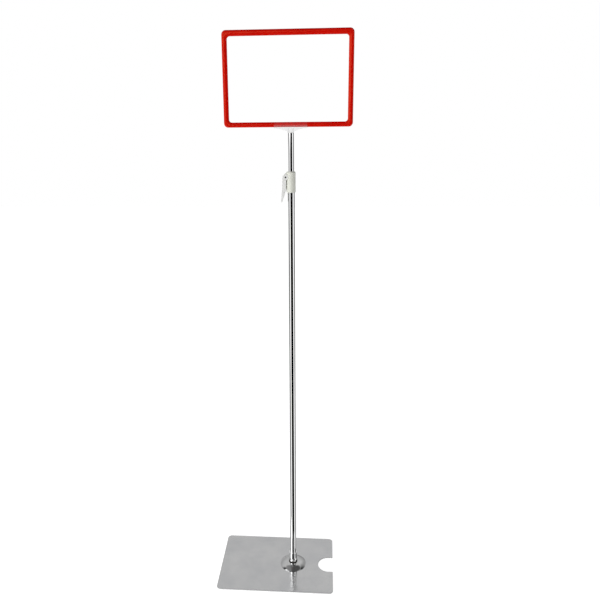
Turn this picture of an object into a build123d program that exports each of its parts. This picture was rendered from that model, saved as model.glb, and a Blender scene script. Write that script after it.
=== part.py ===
from build123d import *
import os

# Free-standing sign stand: a flat steel foot plate, a telescopic chromed pole with a cam clamp,
# and a landscape A4 poster frame that sits in a clear holder on top of the pole.
# Millimetres, +Z up. The origin is on the floor, on the pole's axis. +X points to the notched end
# of the foot plate, and the stand is the same seen from the front (-Y) and from the back (+Y).

# ---- Driving dimensions ----

# Play between pieces, on the radius or on each side
RUNNING_GAP = 0.05  # a piece that slides or turns in another
FITTED_GAP = 0.02  # a piece that is pressed or screwed into another

# Foot plate
PLATE_LEFT = 206.0  # pole axis to the plain end
PLATE_RIGHT = 114.0  # pole axis to the notched end
PLATE_DEPTH = 222.0
PLATE_THICKNESS = 3.0
PLATE_CORNER = 11.0
PLATE_EDGE_ROUNDING = 0.6
NOTCH_RADIUS = 29.0
NOTCH_STRAIGHT = 13.0  # parallel part between the half circle and the plate's end

# Pole foot
STUD_RADIUS = 4.5
STUD_TOP = 30.0
STUD_CHAMFER = 0.8
WASHER_THICKNESS = 1.2
INSERT_NECK = 6.5
INSERT_TOP = 38.0
ROSETTE_RADIUS = 36.0
ROSETTE_TOP = 12.0
ROSETTE_SHEET = 1.0
ROSETTE_CROWN = 13.5  # radius of its flat middle
ROSETTE_HOLE_PLAY = 0.2
CROWN_SLOPE = 0.06  # fall of the rosette's flare where it leaves the flat middle
RIM_SLOPE = 0.78  # and where it ends
SEAL_RADIUS = 12.2
SEAL_TOP = 15.0
SEAL_ROUNDING = 0.7
FERRULE_RADIUS = 11.0
FERRULE_TOP = 42.0
FERRULE_ROUNDING = 1.2

# Pole
OUTER_DIAMETER = 17.5
INNER_DIAMETER = 15.0
TUBE_WALL = 1.0
INNER_LENGTH = 950.0
INNER_TOP = 1216.5
GUIDE_LENGTH = 20.0
GUIDE_CORE = 4.5
PLUG_LENGTH = 24.0  # how far the bushes reach into the inner tube's ends
BUSH_FLANGE = 0.8
SPIGOT_RADIUS = 5.0

# Cam clamp
CLAMP_RADIUS = 11.2
CLAMP_BOTTOM = 1074.0
CLAMP_TOP = 1125.0
CLAMP_STEP = 1101.0  # the outer tube ends here, inside the clamp
CLAMP_TOP_ROUNDING = 4.0
CLAMP_BOTTOM_ROUNDING = 0.6
PIVOT_X = -13.0
PIVOT_Z = 1111.0
PIN_RADIUS = 1.9
PIN_STICKS_OUT = 0.3
PIN_CHAMFER = 0.25
EAR_RADIUS = 6.9
EAR_HALF_WIDTH = 6.0  # of the two ears together, slot included
SLOT_HALF_WIDTH = 3.1
SLOT_RISE = 6.2  # how far the slot reaches above the pivot
SHOULDER_DROP = 1.2  # how far the ears' shoulder stays below the clamp's top
RIVET_Z = 1084.0
RIVET_RADIUS = 1.6
RIVET_HEAD_RADIUS = 2.6
RIVET_HEAD_HEIGHT = 0.9
RIVET_HEAD_ROUNDING = 0.6

# Clamp lever and brake shoe
LEVER_HEAD_RADIUS = 7.3
LEVER_HALF_WIDTH = 8.0
LEVER_TIP_ROUNDING = 0.8
CHEEK_INNER = 6.2
CHEEK_CLEARANCE = 0.3  # between a cheek's rim and its pocket in the clamp
CAM_HALF_WIDTH = 2.9
CAM_RADIUS = 3.4
CAM_OFFSET = 0.45
CAM_NECK = 5.0
ARM_TOP = -7.3  # the arm starts this far below the pivot
ARM_INNER = 1.5  # its straight inner face, beside the pole, from the pivot
ARM_OUTER = -8.0
ARM_CURVE = [(-0.8, -35.0), (-9.6, -61.0), (-11.6, -61.0), (-9.2, -36.0), (-8.4, -22.0)]
ARM_STRAIGHT_END = -29.0
CHEEK_TOE = (5.0, -5.0)  # where a cheek runs out towards the pole
SHOE_BACK_GAP = 0.07  # between the shoe and the cam at rest
SHOE_THICKNESS = 0.75
SHOE_DROP = 6.4
SHOE_RISE = 6.0
LINING_BITE = 0.6  # how far the lining's edges reach round the tube

# Poster frame for an A4 sheet
SHEET_WIDTH = 297.0
FRAME_WIDTH = 310.0
FRAME_HEIGHT = 221.0
FRAME_DEPTH = 8.0
FRAME_BOTTOM = 1230.0
FRAME_SHIFT = -6.3  # the frame's centre stands a little left of the pole
FRAME_CORNER = 10.0
SIDE_RAIL = 12.2
TOP_RAIL = 13.7
BOTTOM_RAIL = 11.9
BEVEL_WIDTH = 2.0
BEVEL_DEPTH = 1.2
SLOPE_WIDTH = 3.5
SLOPE_DEPTH = 1.8
WINDOW_CORNER = 7.0
SHEET_PLAY = 2.5
SLOT_THICKNESS = 1.6
SLOT_FLOOR = 4.8  # material left under the sheet

# Frame holder
HOLDER_WIDTH = 80.0
HOLDER_TOP = 1240.6
HOLDER_FLOOR = 2.6
HOLDER_WALL = 2.0
HOLDER_PLAY = 0.15
HOLDER_ROUNDING = 2.0
BEAD_PROUD = 0.6
BEAD_HEIGHT = 2.0
BEAD_FLAT = 0.8
GUSSET_HALF_WIDTH = 3.0
GUSSET_NECK_RISE = 2.4
GUSSET_MIDDLE = (21.0, 2.7)  # a point on its curved lower edge: out from the axis, below the shell
RIB_X = 7.0
RIB_WIDTH = 1.2
RIB_PROUD = 0.8
RIB_FOOT = 1.0
RIB_HEAD = 1.5

# ---- Derived sizes ----

OUTER_RADIUS = OUTER_DIAMETER / 2
OUTER_BORE = OUTER_RADIUS - TUBE_WALL
OUTER_TUBE_TOP = CLAMP_STEP - 4 * RUNNING_GAP
INNER_RADIUS = INNER_DIAMETER / 2
INNER_BORE = INNER_RADIUS - TUBE_WALL
INNER_BOTTOM = INNER_TOP - INNER_LENGTH
WASHER_TOP = PLATE_THICKNESS + WASHER_THICKNESS
COLLAR_BOTTOM = INNER_TOP + BUSH_FLANGE
SHOE_BACK = PIVOT_X + CAM_OFFSET + CAM_RADIUS + SHOE_BACK_GAP
SHOE_FRONT = SHOE_BACK + SHOE_THICKNESS
SHOE_LOW = PIVOT_Z - SHOE_DROP
SHOE_HIGH = PIVOT_Z + SHOE_RISE
CHANNEL_HALF = FRAME_DEPTH / 2 + HOLDER_PLAY
HOLDER_HALF_DEPTH = CHANNEL_HALF + HOLDER_WALL
HOLDER_HALF_WIDTH = HOLDER_WIDTH / 2
HOLDER_BOTTOM = FRAME_BOTTOM - HOLDER_FLOOR


# ---- Shapes that repeat ----

def ring(outer, inner, low, high):
    """A round tube about the pole's axis, or a solid bar where inner is 0."""
    face = Circle(outer)
    if inner > 0:
        face -= Circle(inner)
    return Pos(0, 0, low) * extrude(face, high - low)


def turned(*edges):
    """A turned piece: its closed outline in (radius, height), revolved about the pole's axis."""
    return revolve(Plane.XZ * make_face(edges), Axis.Z)


def side_view(y):
    """The plane at y in which a sketch's coordinates are (x, height)."""
    return Plane(origin=(0, y, 0), x_dir=(1, 0, 0), z_dir=(0, -1, 0))


def across(face, low, high):
    """A slab of a side-view face (x, height), from y = low to y = high."""
    return extrude(side_view(high) * face, high - low, dir=(0, -1, 0))


def both_sides(face, inner, outer):
    """The same slab twice, in front of and behind the pole."""
    return across(face, inner, outer) + across(face, -outer, -inner)


def at_pivot(face):
    """Moves a side-view face, drawn about the lever's pivot, to where the pivot is."""
    return Pos(PIVOT_X, PIVOT_Z) * face


def outline(*points):
    """A face with straight edges through the points, in the sketch's own coordinates."""
    return Polygon(*points, align=None)


def block(low, high):
    """A box from its lowest to its highest corner."""
    size = [b - a for a, b in zip(low, high)]
    return Pos(*low) * Box(*size, align=(Align.MIN, Align.MIN, Align.MIN))


def rivet_bar(radius, start, length):
    """A round bar along the rivet's axis, from start outwards to the back of the clamp."""
    bar = Cylinder(radius, length, align=(Align.CENTER, Align.CENTER, Align.MIN))
    return Pos(0, start, RIVET_Z) * Rot(-90, 0, 0) * bar


# ---- Foot ----

def make_base_plate():
    notch_x = PLATE_RIGHT - NOTCH_STRAIGHT
    centre_x = (PLATE_RIGHT - PLATE_LEFT) / 2
    face = Pos(centre_x, 0) * RectangleRounded(PLATE_LEFT + PLATE_RIGHT, PLATE_DEPTH, PLATE_CORNER)
    face -= Pos(notch_x, 0) * Circle(NOTCH_RADIUS)
    face -= Pos(notch_x + NOTCH_RADIUS, 0) * Rectangle(2 * NOTCH_RADIUS, 2 * NOTCH_RADIUS)
    plate = extrude(face, PLATE_THICKNESS)
    return fillet(plate.faces().sort_by(Axis.Z)[-1].edges(), PLATE_EDGE_ROUNDING)


def make_base_stud():
    stud = ring(STUD_RADIUS, 0, PLATE_THICKNESS, STUD_TOP)
    return chamfer(stud.edges().sort_by(Axis.Z)[-1], STUD_CHAMFER)


def make_lock_washer():
    return ring(INSERT_NECK, STUD_RADIUS + RUNNING_GAP, PLATE_THICKNESS, WASHER_TOP)


def make_foot_insert():
    """Screws onto the stud and holds the pole: its neck clamps the rosette down."""
    bore = STUD_RADIUS + FITTED_GAP
    neck = ring(INSERT_NECK, bore, WASHER_TOP, ROSETTE_TOP)
    return neck + ring(OUTER_BORE - FITTED_GAP, bore, ROSETTE_TOP, INSERT_TOP)


def make_rosette():
    """A spun cover: flat in the middle, then falling ever more steeply to its rim on the plate."""
    hole = INSERT_NECK + ROSETTE_HOLE_PLAY
    under_crown = ROSETTE_TOP - ROSETTE_SHEET
    rim_top = PLATE_THICKNESS + ROSETTE_SHEET
    rim_inner = ROSETTE_RADIUS - ROSETTE_SHEET
    outer_flare = Spline(
        (ROSETTE_CROWN, ROSETTE_TOP), (ROSETTE_RADIUS, rim_top),
        tangents=((1, -CROWN_SLOPE), (1, -RIM_SLOPE)),
    )
    inner_flare = Spline(
        (rim_inner, PLATE_THICKNESS), (ROSETTE_CROWN, under_crown),
        tangents=((-1, RIM_SLOPE), (-1, CROWN_SLOPE)),
    )
    return turned(
        Line((hole, ROSETTE_TOP), (ROSETTE_CROWN, ROSETTE_TOP)),
        outer_flare,
        Line((ROSETTE_RADIUS, rim_top), (ROSETTE_RADIUS, PLATE_THICKNESS)),
        Line((ROSETTE_RADIUS, PLATE_THICKNESS), (rim_inner, PLATE_THICKNESS)),
        inner_flare,
        Line((ROSETTE_CROWN, under_crown), (hole, under_crown)),
        Line((hole, under_crown), (hole, ROSETTE_TOP)),
    )


def make_ferrule_seal():
    seal = ring(SEAL_RADIUS, OUTER_RADIUS + RUNNING_GAP, ROSETTE_TOP, SEAL_TOP)
    outer_edges = seal.edges().filter_by(GeomType.CIRCLE).group_by(SortBy.LENGTH)[-1]
    return fillet(outer_edges, SEAL_ROUNDING)


def make_foot_ferrule():
    ferrule = ring(FERRULE_RADIUS, OUTER_RADIUS + FITTED_GAP, SEAL_TOP, FERRULE_TOP)
    top_edge = ferrule.edges().group_by(SortBy.LENGTH)[-1].sort_by(Axis.Z)[-1]
    return fillet(top_edge, FERRULE_ROUNDING)


# ---- Pole ----

def make_outer_tube():
    tube = ring(OUTER_RADIUS, OUTER_BORE, ROSETTE_TOP, OUTER_TUBE_TOP)
    return tube - rivet_bar(RIVET_RADIUS + FITTED_GAP, 0, CLAMP_RADIUS)


def make_inner_tube():
    return ring(INNER_RADIUS, INNER_BORE, INNER_BOTTOM, INNER_TOP)


def make_guide_bush():
    """Plugs the inner tube's lower end, slides in the outer tube and stops under the clamp's step."""
    slider = ring(OUTER_BORE - RUNNING_GAP, GUIDE_CORE, INNER_BOTTOM - GUIDE_LENGTH, INNER_BOTTOM)
    return slider + ring(INNER_BORE - FITTED_GAP, GUIDE_CORE, INNER_BOTTOM, INNER_BOTTOM + PLUG_LENGTH)


def make_top_bush():
    """Lines the inner tube's upper end, so that the holder's spigot can turn in it."""
    bore = SPIGOT_RADIUS + RUNNING_GAP
    liner = ring(INNER_BORE - FITTED_GAP, bore, INNER_TOP - PLUG_LENGTH, INNER_TOP)
    return liner + ring(INNER_RADIUS, bore, INNER_TOP, COLLAR_BOTTOM)


# ---- Cam clamp ----

def ear_face():
    """Side view of the ears: a circle at the pivot, joined to the clamp by a 45 degree shoulder."""
    reach = EAR_RADIUS / 2 ** 0.5
    shoulder_top = CLAMP_TOP - SHOULDER_DROP - PIVOT_Z
    shoulder_x = shoulder_top - 2 * reach
    inside_core = EAR_RADIUS
    web = outline(
        (inside_core, -EAR_RADIUS), (inside_core, shoulder_top), (shoulder_x, shoulder_top),
        (-reach, reach), (0, 0), (0, -EAR_RADIUS),
    )
    return at_pivot(Circle(EAR_RADIUS) + web)


def make_clamp_body():
    core = ring(CLAMP_RADIUS, 0, CLAMP_BOTTOM, CLAMP_TOP)
    core = fillet(core.edges().sort_by(Axis.Z)[-1], CLAMP_TOP_ROUNDING)
    core = fillet(core.edges().sort_by(Axis.Z)[0], CLAMP_BOTTOM_ROUNDING)
    body = core + across(ear_face(), -EAR_HALF_WIDTH, EAR_HALF_WIDTH)
    body -= ring(OUTER_RADIUS + FITTED_GAP, 0, CLAMP_BOTTOM, CLAMP_STEP)
    body -= ring(INNER_RADIUS + RUNNING_GAP, 0, CLAMP_STEP, CLAMP_TOP)
    slot_low = (2 * PIVOT_X, -SLOT_HALF_WIDTH, PIVOT_Z + ARM_TOP)
    body -= block(slot_low, (0, SLOT_HALF_WIDTH, PIVOT_Z + SLOT_RISE))
    cheek_pocket = at_pivot(Circle(LEVER_HEAD_RADIUS + CHEEK_CLEARANCE))
    body -= both_sides(cheek_pocket, EAR_HALF_WIDTH + 2 * RUNNING_GAP, CLAMP_RADIUS)
    body -= across(at_pivot(Circle(PIN_RADIUS + FITTED_GAP)), -EAR_HALF_WIDTH, EAR_HALF_WIDTH)
    return body - rivet_bar(RIVET_RADIUS + FITTED_GAP, 0, CLAMP_RADIUS)


def make_collar_rivet():
    """Pins the clamp to the outer tube, from the back."""
    shank_start = OUTER_BORE - RUNNING_GAP
    shank = rivet_bar(RIVET_RADIUS, shank_start, CLAMP_RADIUS - shank_start)
    head = rivet_bar(RIVET_HEAD_RADIUS, CLAMP_RADIUS, RIVET_HEAD_HEIGHT)
    return shank + fillet(head.edges().sort_by(Axis.Y)[-1], RIVET_HEAD_ROUNDING)


def make_lever_pin():
    half_length = LEVER_HALF_WIDTH + PIN_STICKS_OUT
    pin = across(at_pivot(Circle(PIN_RADIUS)), -half_length, half_length)
    return chamfer(pin.edges().filter_by(GeomType.CIRCLE), PIN_CHAMFER)


def make_clamp_lever():
    """Two cheeks outside the ears, a cam between them, and the arm that is pulled up to let go."""
    arm_face = outline(
        (ARM_INNER, ARM_TOP), (ARM_INNER, ARM_STRAIGHT_END), *ARM_CURVE, (ARM_OUTER, ARM_TOP),
    )
    arm = across(at_pivot(arm_face), -LEVER_HALF_WIDTH, LEVER_HALF_WIDTH)
    arm = fillet(arm.edges().filter_by(Axis.Y).sort_by(Axis.Z)[:2], LEVER_TIP_ROUNDING)
    cheek_neck = outline(
        (-LEVER_HEAD_RADIUS, 0), (ARM_OUTER, ARM_TOP), (ARM_INNER, ARM_TOP), CHEEK_TOE, (0, 0),
    )
    cheek = at_pivot(Circle(LEVER_HEAD_RADIUS) + cheek_neck)
    cheeks = both_sides(cheek, CHEEK_INNER, LEVER_HALF_WIDTH)
    cam_neck = outline((-CAM_NECK, 0), (-CAM_NECK, ARM_TOP), (ARM_INNER, ARM_TOP), (ARM_INNER, 0))
    cam_face = at_pivot(Pos(CAM_OFFSET, 0) * Circle(CAM_RADIUS) + cam_neck)
    lever = arm + cheeks + across(cam_face, -CAM_HALF_WIDTH, CAM_HALF_WIDTH)
    bore = at_pivot(Circle(PIN_RADIUS + RUNNING_GAP))
    return lever - across(bore, -LEVER_HALF_WIDTH, LEVER_HALF_WIDTH)


def make_brake_shoe():
    return block((SHOE_BACK, -CAM_HALF_WIDTH, SHOE_LOW), (SHOE_FRONT, CAM_HALF_WIDTH, SHOE_HIGH))


def make_brake_lining():
    """Grips the inner tube: its inner face follows the tube."""
    lining_high = (LINING_BITE - INNER_RADIUS, CAM_HALF_WIDTH, SHOE_HIGH)
    lining = block((SHOE_FRONT, -CAM_HALF_WIDTH, SHOE_LOW), lining_high)
    return lining - ring(INNER_RADIUS + RUNNING_GAP, 0, SHOE_LOW, SHOE_HIGH)


# ---- Holder and poster frame ----

def holder_shell():
    """The trough that the frame's lower rail stands in."""
    low = (-HOLDER_HALF_WIDTH, -HOLDER_HALF_DEPTH, HOLDER_BOTTOM)
    shell = block(low, (HOLDER_HALF_WIDTH, HOLDER_HALF_DEPTH, HOLDER_TOP))
    shell = fillet(shell.edges().filter_by(Axis.Y), HOLDER_ROUNDING)
    channel_low = (-HOLDER_HALF_WIDTH, -CHANNEL_HALF, FRAME_BOTTOM)
    return shell - block(channel_low, (HOLDER_HALF_WIDTH, CHANNEL_HALF, HOLDER_TOP))


def snap_beads():
    """A small bead along the inside of each lip's top edge, which the frame snaps under."""
    tip = CHANNEL_HALF - BEAD_PROUD
    section = outline(
        (CHANNEL_HALF, HOLDER_TOP - BEAD_HEIGHT), (tip, HOLDER_TOP - BEAD_FLAT),
        (tip, HOLDER_TOP), (CHANNEL_HALF, HOLDER_TOP),
    )
    spread = HOLDER_HALF_WIDTH - HOLDER_ROUNDING
    end_view = Plane(origin=(-spread, 0, 0), x_dir=(0, 1, 0), z_dir=(1, 0, 0))
    bead = extrude(end_view * section, 2 * spread, dir=(1, 0, 0))
    return bead + mirror(bead, Plane.XZ)


def holder_gusset():
    """The web that carries the trough on the collar, with a curved lower edge."""
    neck_z = COLLAR_BOTTOM + GUSSET_NECK_RISE
    mid_x, mid_drop = GUSSET_MIDDLE
    mid_z = HOLDER_BOTTOM - mid_drop
    end_x = HOLDER_HALF_WIDTH - HOLDER_ROUNDING
    face = make_face([
        Line((-INNER_RADIUS, neck_z), (INNER_RADIUS, neck_z)),
        ThreePointArc((INNER_RADIUS, neck_z), (mid_x, mid_z), (end_x, HOLDER_BOTTOM)),
        Line((end_x, HOLDER_BOTTOM), (-end_x, HOLDER_BOTTOM)),
        ThreePointArc((-end_x, HOLDER_BOTTOM), (-mid_x, mid_z), (-INNER_RADIUS, neck_z)),
    ])
    return across(face, -GUSSET_HALF_WIDTH, GUSSET_HALF_WIDTH)


def holder_rib(x):
    """A pair of upright stiffening ribs at x, on the front and on the back of the trough."""
    rib_low = (x - RIB_WIDTH / 2, HOLDER_HALF_DEPTH, HOLDER_BOTTOM + RIB_FOOT)
    rib = block(rib_low, (x + RIB_WIDTH / 2, HOLDER_HALF_DEPTH + RIB_PROUD, HOLDER_TOP - RIB_HEAD))
    return rib + mirror(rib, Plane.XZ)


def make_frame_holder():
    collar = ring(INNER_RADIUS, 0, COLLAR_BOTTOM, HOLDER_BOTTOM)
    spigot = ring(SPIGOT_RADIUS, 0, INNER_TOP - PLUG_LENGTH + 1, COLLAR_BOTTOM)
    ribs = holder_rib(-RIB_X) + holder_rib(RIB_X)
    return holder_shell() + snap_beads() + holder_gusset() + collar + spigot + ribs


def rounded_plate(width, height, corner, z, half_depth):
    """A rounded rectangle, centred on the frame at height z, from half_depth in front to behind."""
    face = Pos(FRAME_SHIFT, z) * RectangleRounded(width, height, corner)
    return across(face, -half_depth, half_depth)


def flared(width, height, corner, z, inner, outer, growth):
    """A front and a back slab whose outline grows by growth on each side, from inner to outer."""
    place = Pos(FRAME_SHIFT, z)
    start = place * RectangleRounded(width, height, corner)
    end = place * RectangleRounded(width + 2 * growth, height + 2 * growth, corner + growth)
    front = loft([side_view(-inner) * start, side_view(-outer) * end], ruled=True)
    return front + mirror(front, Plane.XZ)


def make_poster_frame():
    """One moulding: bevelled outer edges, sloped window edges, and a slot at the top for the sheet."""
    half_depth = FRAME_DEPTH / 2
    centre_z = FRAME_BOTTOM + FRAME_HEIGHT / 2
    edge = half_depth - BEVEL_DEPTH
    body = rounded_plate(FRAME_WIDTH, FRAME_HEIGHT, FRAME_CORNER, centre_z, edge)
    body += flared(FRAME_WIDTH, FRAME_HEIGHT, FRAME_CORNER, centre_z, edge, half_depth, -BEVEL_WIDTH)
    window_w = FRAME_WIDTH - 2 * SIDE_RAIL
    window_h = FRAME_HEIGHT - TOP_RAIL - BOTTOM_RAIL
    window_z = centre_z + (BOTTOM_RAIL - TOP_RAIL) / 2
    lip = half_depth - SLOPE_DEPTH
    body -= rounded_plate(window_w, window_h, WINDOW_CORNER, window_z, lip)
    body -= flared(window_w, window_h, WINDOW_CORNER, window_z, lip, half_depth, SLOPE_WIDTH)
    slot_half = (SHEET_WIDTH + SHEET_PLAY) / 2
    slot_low = (FRAME_SHIFT - slot_half, -SLOT_THICKNESS / 2, FRAME_BOTTOM + SLOT_FLOOR)
    slot_high = (FRAME_SHIFT + slot_half, SLOT_THICKNESS / 2, FRAME_BOTTOM + FRAME_HEIGHT)
    return body - block(slot_low, slot_high)


MAKERS = {
    "base_plate": make_base_plate,
    "base_stud": make_base_stud,
    "lock_washer": make_lock_washer,
    "foot_insert": make_foot_insert,
    "rosette": make_rosette,
    "ferrule_seal": make_ferrule_seal,
    "foot_ferrule": make_foot_ferrule,
    "outer_tube": make_outer_tube,
    "clamp_body": make_clamp_body,
    "collar_rivet": make_collar_rivet,
    "lever_pin": make_lever_pin,
    "clamp_lever": make_clamp_lever,
    "brake_shoe": make_brake_shoe,
    "brake_lining": make_brake_lining,
    "inner_tube": make_inner_tube,
    "guide_bush": make_guide_bush,
    "top_bush": make_top_bush,
    "frame_holder": make_frame_holder,
    "poster_frame": make_poster_frame,
}

os.makedirs("parts", exist_ok=True)
for node, make in MAKERS.items():
    export_step(make(), f"parts/{node}.step")
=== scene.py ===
import math

import bmesh
import bpy
from mathutils import Matrix, Vector


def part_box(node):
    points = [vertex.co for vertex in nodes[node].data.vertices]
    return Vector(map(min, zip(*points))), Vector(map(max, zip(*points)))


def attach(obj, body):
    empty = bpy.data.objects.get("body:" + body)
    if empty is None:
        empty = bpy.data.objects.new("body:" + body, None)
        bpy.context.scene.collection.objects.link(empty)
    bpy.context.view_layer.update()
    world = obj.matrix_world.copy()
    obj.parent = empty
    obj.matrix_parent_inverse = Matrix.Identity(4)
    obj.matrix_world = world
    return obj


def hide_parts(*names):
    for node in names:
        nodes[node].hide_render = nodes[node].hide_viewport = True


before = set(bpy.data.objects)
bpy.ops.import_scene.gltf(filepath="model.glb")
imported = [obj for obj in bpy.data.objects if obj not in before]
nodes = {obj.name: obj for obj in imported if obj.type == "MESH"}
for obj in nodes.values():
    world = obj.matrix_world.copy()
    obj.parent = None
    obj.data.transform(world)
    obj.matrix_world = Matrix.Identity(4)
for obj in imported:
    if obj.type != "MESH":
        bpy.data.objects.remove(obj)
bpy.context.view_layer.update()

# Sign stand: a steel foot plate, a telescopic chromed pole with a cam clamp, and a red poster
# frame in a clear holder. Metres; sizes are written in millimetres times MM. The pole stands on
# the Z axis, the plate's notch opens towards +X, and the frame faces -Y.

MM = 0.001

# ---- Sizes that the frame's boxes don't give, and how finely curves are drawn ----

LATHE_STEPS = 160
CORNER_STEPS = 10
CHAMFER_STEPS = 2
SHARP_ANGLE = math.radians(35)

PLATE_EDGE_ROUNDING = 0.6 * MM
PLATE_CORNER = 11 * MM
PLATE_CORNER_STEPS = 24
NOTCH_RADIUS = 29 * MM
NOTCH_STRAIGHT = 13 * MM

TUBE_WALL = 1.0 * MM
TUBE_CHAMFER = 0.25 * MM
BORE_PLAY = 0.02 * MM
ROSETTE_SHEET = 1.0 * MM
ROSETTE_CROWN = 13.5 * MM
ROSETTE_HOLE = 6.7 * MM
CROWN_SLOPE = 0.06
RIM_SLOPE = 0.78
FLARE_STEPS = 24
UNDERSIDE_STEPS = 16
SEAL_ROUNDING = 0.9 * MM
SEAL_PLAY = 0.05 * MM
FERRULE_ROUNDING = 1.2 * MM
FERRULE_CHAMFER = 0.3 * MM
FERRULE_CORNER_STEPS = 6

FRAME_CORNER = 10 * MM
WINDOW_CORNER = 7 * MM
SIDE_RAIL = 12.2 * MM
TOP_RAIL = 13.7 * MM
BOTTOM_RAIL = 11.9 * MM
RIM_DEPTH = 1.2 * MM
BEVEL_WIDTH = 2.3 * MM
FACE_CROWN = 0.45 * MM
SLOPE_WIDTH = 3.5 * MM
LIP_DEPTH = 2.2 * MM
SLOT_THICKNESS = 1.6 * MM
SLOT_WIDTH = 299.5 * MM
SLOT_FLOOR = 4.8 * MM
CROWN_STEPS = 8
FRAME_EDGE_ROUNDING = 0.3 * MM
FRAME_SHARP_ANGLE = math.radians(40)

CAD_EDGE_ROUNDINGS = {"clamp_body": 0.4 * MM, "clamp_lever": 0.5 * MM, "frame_holder": 0.25 * MM}
WELD_DISTANCE = 0.002 * MM
FLAT_ANGLE = math.radians(1)

# ---- Camera: angles in radians, lens in millimetres, shift in widths of the picture ----

CAMERA_PLACE = Vector((83.7, -1485.8, 1227.8)) * MM
CAMERA_YAW = -0.0723
CAMERA_PITCH = 0.2461
CAMERA_ROLL = -0.0097
CAMERA_LENS = 35.98
CAMERA_SHIFT = (0.0296, -0.0354)
CAMERA_NEAR = 0.01


# ---- Mesh tools ----

def rounded(corners, steps=CORNER_STEPS):
    """The points of a closed outline whose corners (x, y, radius) are rounded by arcs."""
    points = []
    for i, (x, y, radius) in enumerate(corners):
        corner = Vector((x, y))
        if radius == 0:
            points.append((x, y))
            continue
        back = (Vector(corners[i - 1][:2]) - corner).normalized()
        ahead = (Vector(corners[(i + 1) % len(corners)][:2]) - corner).normalized()
        half = back.angle(ahead) / 2
        centre = corner + (back + ahead).normalized() * radius / math.sin(half)
        start = corner + back * radius / math.tan(half) - centre
        end = corner + ahead * radius / math.tan(half) - centre
        turn = start.angle_signed(end)
        for k in range(steps + 1):
            spoke = Matrix.Rotation(-turn * k / steps, 2) @ start
            points.append(tuple(centre + spoke))
    return points


def rounded_rectangle(width, height, radius, centre_x, centre_z):
    low_x, high_x = centre_x - width / 2, centre_x + width / 2
    low_z, high_z = centre_z - height / 2, centre_z + height / 2
    corners = ((low_x, low_z), (high_x, low_z), (high_x, high_z), (low_x, high_z))
    return rounded([(x, z, radius) for x, z in corners])


def skin(loops):
    """A closed surface of quads through loops of equal length, the last joined to the first."""
    bm = bmesh.new()
    rows = [[bm.verts.new(point) for point in loop] for loop in loops]
    for row, after in zip(rows, rows[1:] + rows[:1]):
        for i in range(len(row)):
            j = (i + 1) % len(row)
            bm.faces.new((row[i], row[j], after[j], after[i]))
    return bm


def lathe(profile):
    """Revolves a closed outline of (radius, height) points about the pole's axis."""
    angles = [2 * math.pi * i / LATHE_STEPS for i in range(LATHE_STEPS)]
    return skin([[(r * math.cos(a), r * math.sin(a), z) for a in angles] for r, z in profile])


def tube_profile(outer, inner, low, high, chamfer):
    """A tube's section with a small chamfer on all four edges."""
    corners = ((inner, low), (outer, low), (outer, high), (inner, high))
    return rounded([(r, z, chamfer) for r, z in corners], steps=CHAMFER_STEPS)


def hermite(start, end, leave, arrive, steps):
    """Points of a cubic curve from start to end, with the given directions at its ends."""
    start, end = Vector(start), Vector(end)
    span = (end - start).length
    leave, arrive = Vector(leave) * span, Vector(arrive) * span
    points = []
    for k in range(steps + 1):
        t = k / steps
        point = start * (2 * t ** 3 - 3 * t ** 2 + 1) + end * (3 * t ** 2 - 2 * t ** 3)
        point += leave * (t ** 3 - 2 * t ** 2 + t) + arrive * (t ** 3 - t ** 2)
        points.append(tuple(point))
    return points


def make_piece(name, bm, material, body, node):
    """Turns a mesh into a piece that stands for a CAD node and rides with its body."""
    bmesh.ops.recalc_face_normals(bm, faces=bm.faces)
    mesh = bpy.data.meshes.new(name)
    bm.to_mesh(mesh)
    bm.free()
    mesh.materials.append(material)
    mesh.shade_smooth()
    mesh.set_sharp_from_angle(angle=SHARP_ANGLE)
    piece = bpy.data.objects.new(name, mesh)
    bpy.context.scene.collection.objects.link(piece)
    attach(piece, body)
    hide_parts(node)
    return piece


def make_turned(name, profile, material, body, node):
    """A turned piece. Long walls keep their own normals beside small roundings."""
    piece = make_piece(name, lathe(profile), material, body, node)
    piece.modifiers.new("weighted normals", "WEIGHTED_NORMAL").keep_sharp = True


def bevel(piece, width, segments=3, angle=SHARP_ANGLE):
    """Rounds the edges that are sharper than the angle."""
    modifier = piece.modifiers.new("rounded edges", "BEVEL")
    modifier.limit_method = "ANGLE"
    modifier.angle_limit = angle
    modifier.width = width
    modifier.segments = segments
    modifier.harden_normals = True
    return modifier


def round_cad_edges(node, width):
    """Rounds a CAD node's edges with modifiers: its triangles are joined into faces first."""
    piece = nodes[node]
    piece.modifiers.new("weld", "WELD").merge_threshold = WELD_DISTANCE
    joined = piece.modifiers.new("join faces", "DECIMATE")
    joined.decimate_type = "DISSOLVE"
    joined.angle_limit = FLAT_ANGLE
    bevel(piece, width)


# ---- Material tools ----

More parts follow.
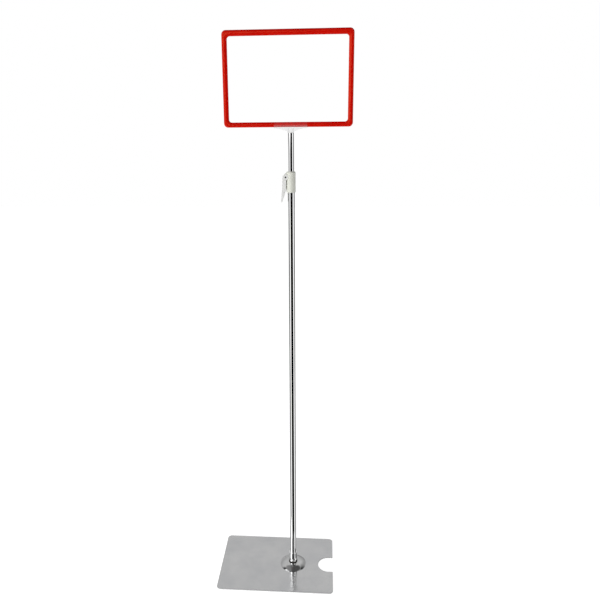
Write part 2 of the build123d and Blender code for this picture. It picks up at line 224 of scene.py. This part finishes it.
class Nodes:
    """A material's node tree with short calls for the few nodes used here."""

    def __init__(self, name):
        self.material = bpy.data.materials.new(name)
        self.material.use_nodes = True
        self.tree = self.material.node_tree
        self.shader = self.tree.nodes["Principled BSDF"]
        self.place = self.add("ShaderNodeTexCoord").outputs["Object"]

    def add(self, kind, **settings):
        node = self.tree.nodes.new(kind)
        for key, value in settings.items():
            setattr(node, key, value)
        return node

    def link(self, output, target):
        self.tree.links.new(output, target)

    def height_of(self, coordinates):
        """The Z component of one of the texture coordinates."""
        split = self.add("ShaderNodeSeparateXYZ")
        self.link(self.add("ShaderNodeTexCoord").outputs[coordinates], split.inputs[0])
        return split.outputs["Z"]

    def set(self, **values):
        """Sets the shader's own sockets; Base_Color stands for Base Color."""
        for key, value in values.items():
            self.shader.inputs[key.replace("_", " ")].default_value = value

    def noise(self, scale, stretch=(1, 1, 1), detail=4, roughness=0.55):
        mapping = self.add("ShaderNodeMapping")
        mapping.inputs["Scale"].default_value = stretch
        self.link(self.place, mapping.inputs["Vector"])
        noise = self.add("ShaderNodeTexNoise")
        noise.inputs["Scale"].default_value = scale
        noise.inputs["Detail"].default_value = detail
        noise.inputs["Roughness"].default_value = roughness
        self.link(mapping.outputs["Vector"], noise.inputs["Vector"])
        return noise.outputs["Fac"]

    def spread(self, source, low, high, start=0.3, end=0.7):
        """Maps start..end of a source to low..high. A noise mostly lies within 0.3..0.7."""
        spread = self.add("ShaderNodeMapRange")
        spread.inputs["From Min"].default_value = start
        spread.inputs["From Max"].default_value = end
        spread.inputs["To Min"].default_value = low
        spread.inputs["To Max"].default_value = high
        self.link(source, spread.inputs["Value"])
        return spread.outputs["Result"]

    def blend(self, share, first, second):
        """Goes from the first base colour to the second as share goes from 0 to 1."""
        mix = self.add("ShaderNodeMix", data_type="RGBA")
        self.link(share, mix.inputs["Factor"])
        mix.inputs["A"].default_value = (*first, 1)
        mix.inputs["B"].default_value = (*second, 1)
        self.link(mix.outputs["Result"], self.shader.inputs["Base Color"])

    def color(self, source, first, second):
        """Mixes two base colours by a noise."""
        self.blend(self.spread(source, 0, 1), first, second)

    def combine(self, operation, first, second, target):
        """Sends two outputs through a math node to one of the shader's inputs."""
        node = self.add("ShaderNodeMath", operation=operation)
        self.link(first, node.inputs[0])
        self.link(second, node.inputs[1])
        self.link(node.outputs[0], self.shader.inputs[target])

    def roughness(self, source, low, high):
        self.link(self.spread(source, low, high), self.shader.inputs["Roughness"])

    def bump(self, source, depth):
        bump = self.add("ShaderNodeBump")
        bump.inputs["Strength"].default_value = 1.0
        bump.inputs["Distance"].default_value = depth
        self.link(source, bump.inputs["Height"])
        self.link(bump.outputs["Normal"], self.shader.inputs["Normal"])


# ---- Materials ----

def chrome():
    """Bright chrome plate with faint haze and hairline wiping marks along the pole."""
    made = Nodes("chrome")
    made.set(Metallic=1.0)
    haze = made.noise(55)
    made.color(haze, (0.86, 0.865, 0.87), (0.92, 0.92, 0.92))
    wiping = made.noise(900, stretch=(1, 1, 0.03), detail=2)
    made.roughness(wiping, 0.02, 0.045)
    return made.material


def satin_chrome():
    """Softer chrome on the spun cover, with cloudy patches and slight waves."""
    made = Nodes("satin chrome")
    made.set(Metallic=1.0)
    clouds = made.noise(40)
    made.color(clouds, (0.56, 0.565, 0.57), (0.66, 0.66, 0.655))
    made.roughness(made.noise(500), 0.10, 0.18)
    made.bump(made.noise(120, detail=2), 0.03 * MM)
    return made.material


def brushed_steel():
    """Zinc-plated sheet, brushed along its length, with cloudy patches and dull cut edges."""
    made = Nodes("brushed steel")
    made.set(Metallic=1.0, Anisotropic=0.4, Anisotropic_Rotation=0.25)
    clouds = made.noise(14, detail=5)
    made.color(clouds, (0.56, 0.565, 0.575), (0.64, 0.64, 0.64))
    strokes = made.noise(60, stretch=(0.35, 28, 1), detail=3, roughness=0.5)
    facing_up = made.height_of("Normal")
    edge_face, top_face = 0.2, 0.8
    dull_edge = made.spread(facing_up, 0.6, 0.0, start=edge_face, end=top_face)
    made.combine("MAXIMUM", made.spread(strokes, 0.15, 0.22), dull_edge, "Roughness")
    bright_top = made.spread(facing_up, 0.1, 1.0, start=edge_face, end=top_face)
    made.link(bright_top, made.shader.inputs["Metallic"])
    made.bump(strokes, 0.002 * MM)
    tangent = made.add("ShaderNodeTangent", direction_type="UV_MAP", uv_map="brushing")
    made.link(tangent.outputs["Tangent"], made.shader.inputs["Tangent"])
    return made.material


def zinc_steel():
    """Plain zinc-plated turned steel."""
    made = Nodes("zinc steel")
    made.set(Metallic=1.0)
    made.color(made.noise(300), (0.46, 0.47, 0.49), (0.60, 0.60, 0.60))
    made.roughness(made.noise(700), 0.25, 0.42)
    return made.material


def black_steel():
    """Black oxide pin."""
    made = Nodes("black steel")
    made.set(Metallic=0.6)
    made.color(made.noise(900), (0.008, 0.008, 0.009), (0.02, 0.02, 0.021))
    made.roughness(made.noise(1200), 0.35, 0.5)
    return made.material


def black_rubber():
    """Matte moulded rubber with a fine skin."""
    made = Nodes("black rubber")
    made.color(made.noise(500), (0.018, 0.014, 0.012), (0.04, 0.034, 0.03))
    grain = made.noise(2500, detail=3)
    made.roughness(grain, 0.5, 0.7)
    made.bump(grain, 0.02 * MM)
    return made.material


def moulded(name, first, second):
    """Satin moulded plastic: faint cloudy colour and a fine spark-eroded grain."""
    made = Nodes(name)
    made.color(made.noise(90), first, second)
    grain = made.noise(2600, detail=3)
    made.roughness(grain, 0.34, 0.46)
    made.bump(grain, 0.012 * MM)
    return made.material


def red_plastic():
    """Glossy red moulding with a slight orange tone in its depth and soft sink marks."""
    made = Nodes("red plastic")
    made.set(Specular_Tint=(1.0, 0.50, 0.20, 1), IOR=1.46)
    made.color(made.noise(24), (0.56, 0.0012, 0.0004), (0.64, 0.0032, 0.0012))
    made.roughness(made.noise(160), 0.16, 0.26)
    made.bump(made.noise(240, detail=2), 0.006 * MM)
    return made.material


def clear_plastic():
    """Clear polycarbonate with painted light in its veil: a painted reflection, denser where it is seen
    edge on;
    painted shade, dense and dark grey, in the gusset below the frame; and a thin, pale painted
    reflection on the cheeks that cover the frame."""
    made = Nodes("clear plastic")
    made.set(IOR=1.5)
    haze = made.noise(180)
    made.roughness(haze, 0.08, 0.18)
    made.bump(made.noise(400, detail=2), 0.02 * MM)
    low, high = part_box("frame_holder")
    seam = (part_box("poster_frame")[0].z - low.z) / (high.z - low.z)
    level = made.height_of("Generated")
    # Painted light by height: dark grey painted shade in the gusset below the frame's lower edge, pale
    # painted reflection on the cheeks above it.
    cheek = made.spread(level, 0.0, 1.0, start=seam - 0.06, end=seam + 0.04)
    made.blend(cheek, (0.36, 0.37, 0.37), (0.80, 0.78, 0.78))
    # Painted reflection: the veil grows denser where the plastic is seen edge on.
    edge_on = made.add("ShaderNodeLayerWeight")
    edge_on.inputs["Blend"].default_value = 0.35
    painted_reflection_edge_on = made.spread(edge_on.outputs["Facing"], 0.12, 0.55, start=0.0, end=1.0)
    # The painted veil is dense in the gusset (painted shade) and thin on the cheeks (painted
    # reflection).
    painted_veil_by_height = made.spread(level, 1.0, 0.08, start=seam - 0.02, end=0.9)
    made.combine("MULTIPLY", painted_reflection_edge_on, painted_veil_by_height, "Alpha")
    return made.material


CHROME = chrome()
SATIN_CHROME = satin_chrome()
BRUSHED_STEEL = brushed_steel()
ZINC_STEEL = zinc_steel()
BLACK_STEEL = black_steel()
BLACK_RUBBER = black_rubber()
CLAMP_PLASTIC = moulded("clamp plastic", (0.74, 0.75, 0.67), (0.79, 0.80, 0.73))
LEVER_PLASTIC = moulded("lever plastic", (0.76, 0.76, 0.745), (0.84, 0.84, 0.825))
BUSH_PLASTIC = moulded("bush plastic", (0.70, 0.70, 0.68), (0.76, 0.76, 0.74))
RED_PLASTIC = red_plastic()
CLEAR_PLASTIC = clear_plastic()


# ---- Pieces ----

def make_base_plate():
    """The foot plate: rounded corners, a notch at its right end, softened upper edges."""
    low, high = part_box("base_plate")
    notch_x = high.x - NOTCH_STRAIGHT - NOTCH_RADIUS
    outline = rounded([
        (low.x, low.y, PLATE_CORNER), (high.x, low.y, PLATE_CORNER),
        (high.x, -NOTCH_RADIUS, 0), (notch_x, -NOTCH_RADIUS, NOTCH_RADIUS),
        (notch_x, NOTCH_RADIUS, NOTCH_RADIUS), (high.x, NOTCH_RADIUS, 0),
        (high.x, high.y, PLATE_CORNER), (low.x, high.y, PLATE_CORNER),
    ], steps=PLATE_CORNER_STEPS)
    bm = bmesh.new()
    bottom = bm.faces.new([bm.verts.new((x, y, low.z)) for x, y in outline])
    raised = bmesh.ops.extrude_face_region(bm, geom=[bottom])["geom"]
    top_verts = [part for part in raised if isinstance(part, bmesh.types.BMVert)]
    bmesh.ops.translate(bm, verts=top_verts, vec=(0, 0, high.z - low.z))
    weight = bm.edges.layers.float.new("bevel_weight_edge")
    for edge in bm.edges:
        if all(vert.co.z > low.z for vert in edge.verts):
            edge[weight] = 1.0
    brushing = bm.loops.layers.uv.new("brushing")
    for face in bm.faces:
        for corner in face.loops:
            corner[brushing].uv = corner.vert.co.xy
    plate = make_piece("foot_plate", bm, BRUSHED_STEEL, "stand", "base_plate")
    bevel(plate, PLATE_EDGE_ROUNDING, segments=4).limit_method = "WEIGHT"


def make_rosette():
    """The spun cover round the pole's foot."""
    low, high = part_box("rosette")
    radius = high.x
    flare = hermite(
        (ROSETTE_CROWN, high.z), (radius, low.z + ROSETTE_SHEET),
        (1, -CROWN_SLOPE), (1, -RIM_SLOPE), steps=FLARE_STEPS,
    )
    under = hermite(
        (radius - ROSETTE_SHEET, low.z), (ROSETTE_CROWN, high.z - ROSETTE_SHEET),
        (-1, RIM_SLOPE), (-1, CROWN_SLOPE), steps=UNDERSIDE_STEPS,
    )
    profile = [(ROSETTE_HOLE, high.z)] + flare + [(radius, low.z)] + under
    profile.append((ROSETTE_HOLE, high.z - ROSETTE_SHEET))
    make_turned("rosette_cover", profile, SATIN_CHROME, "stand", "rosette")


def make_seal():
    """The dark ring between the rosette and the ferrule."""
    low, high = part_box("ferrule_seal")
    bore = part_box("outer_tube")[1].x + SEAL_PLAY
    section = rounded([
        (bore, low.z, 0), (high.x, low.z, SEAL_ROUNDING),
        (high.x, high.z, SEAL_ROUNDING), (bore, high.z, 0),
    ])
    make_turned("seal_ring", section, BLACK_RUBBER, "stand", "ferrule_seal")


def make_ferrule():
    """The chromed sleeve over the pole's foot, with a rounded upper rim."""
    low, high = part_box("foot_ferrule")
    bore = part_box("outer_tube")[1].x + BORE_PLAY
    section = rounded([
        (bore, low.z, 0), (high.x, low.z, FERRULE_CHAMFER),
        (high.x, high.z, FERRULE_ROUNDING), (bore, high.z, 0),
    ], steps=FERRULE_CORNER_STEPS)
    make_turned("ferrule", section, CHROME, "stand", "foot_ferrule")


def make_tube(name, node, body):
    low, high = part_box(node)
    section = tube_profile(high.x, high.x - TUBE_WALL, low.z, high.z, TUBE_CHAMFER)
    make_turned(name, section, CHROME, body, node)


def frame_loops():
    """Loops round the poster frame: from its outer rim over the front, through the window, and back."""
    low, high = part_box("poster_frame")
    width, height = high.x - low.x, high.z - low.z
    centre_x, centre_z = (low.x + high.x) / 2, (low.z + high.z) / 2
    window_w = width - 2 * SIDE_RAIL
    window_h = height - TOP_RAIL - BOTTOM_RAIL
    window_z = centre_z + (BOTTOM_RAIL - TOP_RAIL) / 2
    depth = high.y
    shoulder = depth - FACE_CROWN

    def outer(inset):
        size = (width - 2 * inset, height - 2 * inset)
        return rounded_rectangle(*size, FRAME_CORNER - inset, centre_x, centre_z)

    def window(outset):
        size = (window_w + 2 * outset, window_h + 2 * outset)
        return rounded_rectangle(*size, WINDOW_CORNER + outset, centre_x, window_z)

    def between(t):
        pairs = zip(outer(BEVEL_WIDTH), window(SLOPE_WIDTH))
        return [tuple(Vector(a).lerp(Vector(b), t)) for a, b in pairs]

    section = [(outer(0), RIM_DEPTH), (outer(BEVEL_WIDTH), shoulder)]
    for k in range(1, CROWN_STEPS):
        t = k / CROWN_STEPS
        section.append((between(t), depth - FACE_CROWN * (2 * t - 1) ** 2))
    section += [(window(SLOPE_WIDTH), shoulder), (window(0), LIP_DEPTH)]
    front = [[(x, -y, z) for x, z in outline] for outline, y in section]
    back = [[(x, y, z) for x, z in outline] for outline, y in reversed(section)]
    return front + back


def cut_box(piece, low, high):
    """Cuts a box out of a piece, and keeps the result as its mesh."""
    bm = bmesh.new()
    bmesh.ops.create_cube(bm, size=1)
    for vert in bm.verts:
        vert.co = [low[i] if vert.co[i] < 0 else high[i] for i in range(3)]
    mesh = bpy.data.meshes.new("cutter")
    bm.to_mesh(mesh)
    bm.free()
    cutter = bpy.data.objects.new("cutter", mesh)
    bpy.context.scene.collection.objects.link(cutter)
    cut = piece.modifiers.new("cut", "BOOLEAN")
    cut.object = cutter
    cut.operation = "DIFFERENCE"
    cut.solver = "EXACT"
    graph = bpy.context.evaluated_depsgraph_get()
    result = bpy.data.meshes.new_from_object(piece.evaluated_get(graph))
    piece.modifiers.remove(cut)
    piece.data = result
    bpy.data.objects.remove(cutter)


def make_poster_frame():
    low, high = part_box("poster_frame")
    piece = make_piece(
        "red_frame", skin(frame_loops()), RED_PLASTIC, "sign", "poster_frame",
    )
    centre_x = (low.x + high.x) / 2
    slot_low = (centre_x - SLOT_WIDTH / 2, -SLOT_THICKNESS / 2, low.z + SLOT_FLOOR)
    slot_high = (centre_x + SLOT_WIDTH / 2, SLOT_THICKNESS / 2, high.z + SLOT_THICKNESS)
    cut_box(piece, slot_low, slot_high)
    bevel(piece, FRAME_EDGE_ROUNDING, segments=2, angle=FRAME_SHARP_ANGLE)


def dress_cad_nodes():
    """Gives the CAD nodes that stay their materials, and rounds the edges that show."""
    finishes = {
        "base_stud": ZINC_STEEL, "lock_washer": ZINC_STEEL, "foot_insert": ZINC_STEEL,
        "collar_rivet": ZINC_STEEL, "lever_pin": BLACK_STEEL, "brake_lining": BLACK_RUBBER,
        "clamp_body": CLAMP_PLASTIC, "clamp_lever": LEVER_PLASTIC, "brake_shoe": LEVER_PLASTIC,
        "guide_bush": BUSH_PLASTIC, "top_bush": BUSH_PLASTIC, "frame_holder": CLEAR_PLASTIC,
    }
    for node, material in finishes.items():
        mesh = nodes[node].data
        mesh.materials.clear()
        mesh.materials.append(material)
    for node, width in CAD_EDGE_ROUNDINGS.items():
        round_cad_edges(node, width)


make_base_plate()
make_rosette()
make_seal()
make_ferrule()
make_tube("outer_pole", "outer_tube", "stand")
make_tube("inner_pole", "inner_tube", "mast")
make_poster_frame()
dress_cad_nodes()


# ---- Studio ----

FLOOR_SIZE = 16.0
FLOOR_DROP = 0.2 * MM
FLOOR_GLOW = 0.92

KEY_AZIMUTH = math.radians(-58)
KEY_HEIGHT = math.radians(12)
KEY_SPREAD = math.radians(35)
KEY_STRENGTH = 1.7


def make_floor():
    """A plain white floor. Mirror-bright parts see the studio instead of it."""
    bm = bmesh.new()
    bmesh.ops.create_grid(bm, x_segments=1, y_segments=1, size=FLOOR_SIZE / 2)
    mesh = bpy.data.meshes.new("floor")
    bm.to_mesh(mesh)
    bm.free()
    floor = bpy.data.objects.new("floor", mesh)
    floor.location.z = -FLOOR_DROP
    bpy.context.scene.collection.objects.link(floor)
    made = Nodes("white floor")
    made.set(Roughness=1.0, Specular_IOR_Level=0.0)
    made.set(Emission_Color=(1, 1, 1, 1), Emission_Strength=FLOOR_GLOW)
    made.color(made.noise(3), (0.50, 0.50, 0.50), (0.53, 0.53, 0.53))
    mesh.materials.append(made.material)
    floor.visible_glossy = False
    floor.visible_transmission = False


# Bands of the mirrored studio: (degrees, brightness), turned from the front towards the right.
FLOOR_BANDS = [
    (-93, 1.0), (-91, 0.005), (-56, 0.005), (-54, 1.0), (-21, 1.0), (-19, 0.002),
    (57, 0.002), (59, 1.0), (96, 1.0), (99, 0.06),
]
LOW_BOXES = [
    (-60, 0.004), (-58, 2.2), (-26, 2.2), (-24, 0.004),
    (57, 0.004), (59, 1.5), (94, 1.5), (97, 0.0),
]
HIGH_BOXES = [
    (-82, 0.0), (-77, 2.3), (-38, 2.7), (-32, 0.03),
    (34, 0.03), (41, 1.1), (66, 1.0), (80, 0.4), (97, 0.0),
]
FRONT_STRIP = [(-23, 0.0), (-20, 2.2), (-6, 2.2), (0, 0.0)]
BACKDROP = [(-110, 1.0), (-95, 0.0), (100, 0.0), (155, 1.0)]

# Bands by height: (degrees above the horizon, brightness or share).
STRIP_HEIGHT = [(10, 1.0), (16, 0.0)]
BACKDROP_HEIGHT = [(0, 0.42), (20, 0.5), (38, 0.68)]
HIGH_SHARE = [(14, 0.0), (24, 1.0)]
CEILING_SHARE = [(50, 0.0), (56, 1.0)]
LIGHT_RING = [(7, 0.0), (12, 0.4), (27, 0.4), (32, 0.0)]
HORIZON = [(-2, 0.0), (3, 1.0)]

# The ceiling's brightness, and the dark opening in it: its middle's direction, how much narrower
# it is sideways, its edge in cosines of the angle from that middle, and its brightness from left
# to right.
CEILING_LIGHT = 0.68
OPENING_AXIS = (0, -0.17, 0.985)
OPENING_SQUEEZE = -0.04
OPENING_EDGE = [(0.73, 0.0), (0.79, 1.0)]
OPENING_LIGHT = [(0.38, 0.29), (0.48, 0.09)]

# The studio's strength for reflections, and for the light that matt surfaces receive.
MIRRORED_LIGHT = 1.08
MATT_LIGHT = 0.24


def ramp_node(tree, stops, source):
    """A colour ramp of grey values at the given positions."""
    ramp = tree.nodes.new("ShaderNodeValToRGB")
    elements = ramp.color_ramp.elements
    while len(elements) > 1:
        elements.remove(elements[-1])
    for i, (position, value) in enumerate(stops):
        element = elements[0] if i == 0 else elements.new(position)
        element.position = position
        element.color = (value, value, value, 1)
    tree.links.new(source, ramp.inputs["Fac"])
    return ramp.outputs["Color"]


def math_node(tree, operation, *values):
    """A math node whose inputs are sockets or plain numbers."""
    node = tree.nodes.new("ShaderNodeMath")
    node.operation = operation
    for socket, value in zip(node.inputs, values):
        if isinstance(value, (int, float)):
            socket.default_value = value
        else:
            tree.links.new(value, socket)
    return node.outputs[0]


def mix_node(tree, share, first, second):
    """Goes from first to second as share goes from 0 to 1."""
    change = math_node(tree, "SUBTRACT", second, first)
    return math_node(tree, "MULTIPLY_ADD", change, share, first)


def studio_light(tree):
    """The brightness of the studio in each direction, as mirror-bright parts see it."""
    place = tree.nodes.new("ShaderNodeTexCoord").outputs["Generated"]
    split = tree.nodes.new("ShaderNodeSeparateXYZ")
    tree.links.new(place, split.inputs[0])
    x, y, z = split.outputs
    azimuth = math_node(tree, "ARCTAN2", x, math_node(tree, "MULTIPLY", y, -1.0))
    turn = math_node(tree, "MULTIPLY_ADD", azimuth, 1 / (2 * math.pi), 0.5)
    height = math_node(tree, "MULTIPLY_ADD", z, 0.5, 0.5)

    def around(bands):
        return ramp_node(tree, [(angle / 360 + 0.5, value) for angle, value in bands], turn)

    def upwards(bands):
        heights = [(math.sin(math.radians(angle)) / 2 + 0.5, value) for angle, value in bands]
        return ramp_node(tree, heights, height)

    strip = math_node(tree, "MULTIPLY", around(FRONT_STRIP), upwards(STRIP_HEIGHT))
    low = math_node(tree, "ADD", around(LOW_BOXES), strip)
    walls = mix_node(tree, upwards(HIGH_SHARE), low, around(HIGH_BOXES))
    walls = math_node(tree, "MULTIPLY_ADD", around(BACKDROP), upwards(BACKDROP_HEIGHT), walls)

    overhead = tree.nodes.new("ShaderNodeVectorMath")
    overhead.operation = "DOT_PRODUCT"
    overhead.inputs[1].default_value = OPENING_AXIS
    tree.links.new(place, overhead.inputs[0])
    aside = math_node(tree, "ABSOLUTE", x)
    nearness = math_node(tree, "MULTIPLY_ADD", aside, OPENING_SQUEEZE, overhead.outputs["Value"])
    opening = ramp_node(tree, OPENING_EDGE, nearness)
    across = math_node(tree, "MULTIPLY_ADD", x, 0.5, 0.5)
    ceiling = mix_node(tree, opening, CEILING_LIGHT, ramp_node(tree, OPENING_LIGHT, across))

    above = mix_node(tree, upwards(CEILING_SHARE), walls, ceiling)
    above = math_node(tree, "MAXIMUM", above, upwards(LIGHT_RING))
    return mix_node(tree, upwards(HORIZON), around(FLOOR_BANDS), above)


def make_studio():
    """A studio by direction: tall soft boxes left and right of a dark gap towards the camera, a grey
    backdrop, and a pale ceiling with a dark opening. The camera itself sees plain white."""
    world = bpy.data.worlds.new("studio")
    bpy.context.scene.world = world
    world.use_nodes = True
    tree = world.node_tree
    tree.nodes.clear()
    path = tree.nodes.new("ShaderNodeLightPath")
    studio = tree.nodes.new("ShaderNodeBackground")
    tree.links.new(studio_light(tree), studio.inputs["Color"])
    strength = mix_node(tree, path.outputs["Is Diffuse Ray"], MIRRORED_LIGHT, MATT_LIGHT)
    tree.links.new(strength, studio.inputs["Strength"])
    white = tree.nodes.new("ShaderNodeBackground")
    white.inputs["Color"].default_value = (1, 1, 1, 1)
    seen = math_node(tree, "MAXIMUM", path.outputs["Is Camera Ray"], path.outputs["Is Transmission Ray"])
    mix = tree.nodes.new("ShaderNodeMixShader")
    tree.links.new(seen, mix.inputs["Fac"])
    tree.links.new(studio.outputs[0], mix.inputs[1])
    tree.links.new(white.outputs[0], mix.inputs[2])
    output = tree.nodes.new("ShaderNodeOutputWorld")
    tree.links.new(mix.outputs[0], output.inputs["Surface"])


def make_key_light():
    """A soft light from the left for the matt pieces; mirror-bright parts see only the studio."""
    light = bpy.data.lights.new("key light", "SUN")
    light.energy = KEY_STRENGTH
    light.angle = KEY_SPREAD
    key = bpy.data.objects.new("key light", light)
    level = Vector((math.sin(KEY_AZIMUTH), -math.cos(KEY_AZIMUTH), 0)) * math.cos(KEY_HEIGHT)
    source = level + Vector((0, 0, math.sin(KEY_HEIGHT)))
    key.rotation_euler = source.to_track_quat("Z", "Y").to_euler()
    key.visible_glossy = False
    bpy.context.scene.collection.objects.link(key)


def place_camera():
    camera = bpy.data.cameras.new("camera")
    camera.lens = CAMERA_LENS
    camera.shift_x, camera.shift_y = CAMERA_SHIFT
    camera.clip_start = CAMERA_NEAR
    level = Vector((math.cos(CAMERA_YAW), -math.sin(CAMERA_YAW), 0))
    ahead = Vector((math.sin(CAMERA_YAW), math.cos(CAMERA_YAW), 0)) * math.cos(CAMERA_PITCH)
    ahead.z = -math.sin(CAMERA_PITCH)
    upright = level.cross(ahead)
    right = level * math.cos(CAMERA_ROLL) + upright * math.sin(CAMERA_ROLL)
    up = upright * math.cos(CAMERA_ROLL) - level * math.sin(CAMERA_ROLL)
    turn = Matrix((right, up, -ahead)).transposed().to_4x4()
    holder = bpy.data.objects.new("camera", camera)
    holder.matrix_world = Matrix.Translation(CAMERA_PLACE) @ turn
    bpy.context.scene.collection.objects.link(holder)
    bpy.context.scene.camera = holder


make_floor()
make_studio()
make_key_light()
place_camera()
bpy.context.scene.view_settings.view_transform = "Standard"
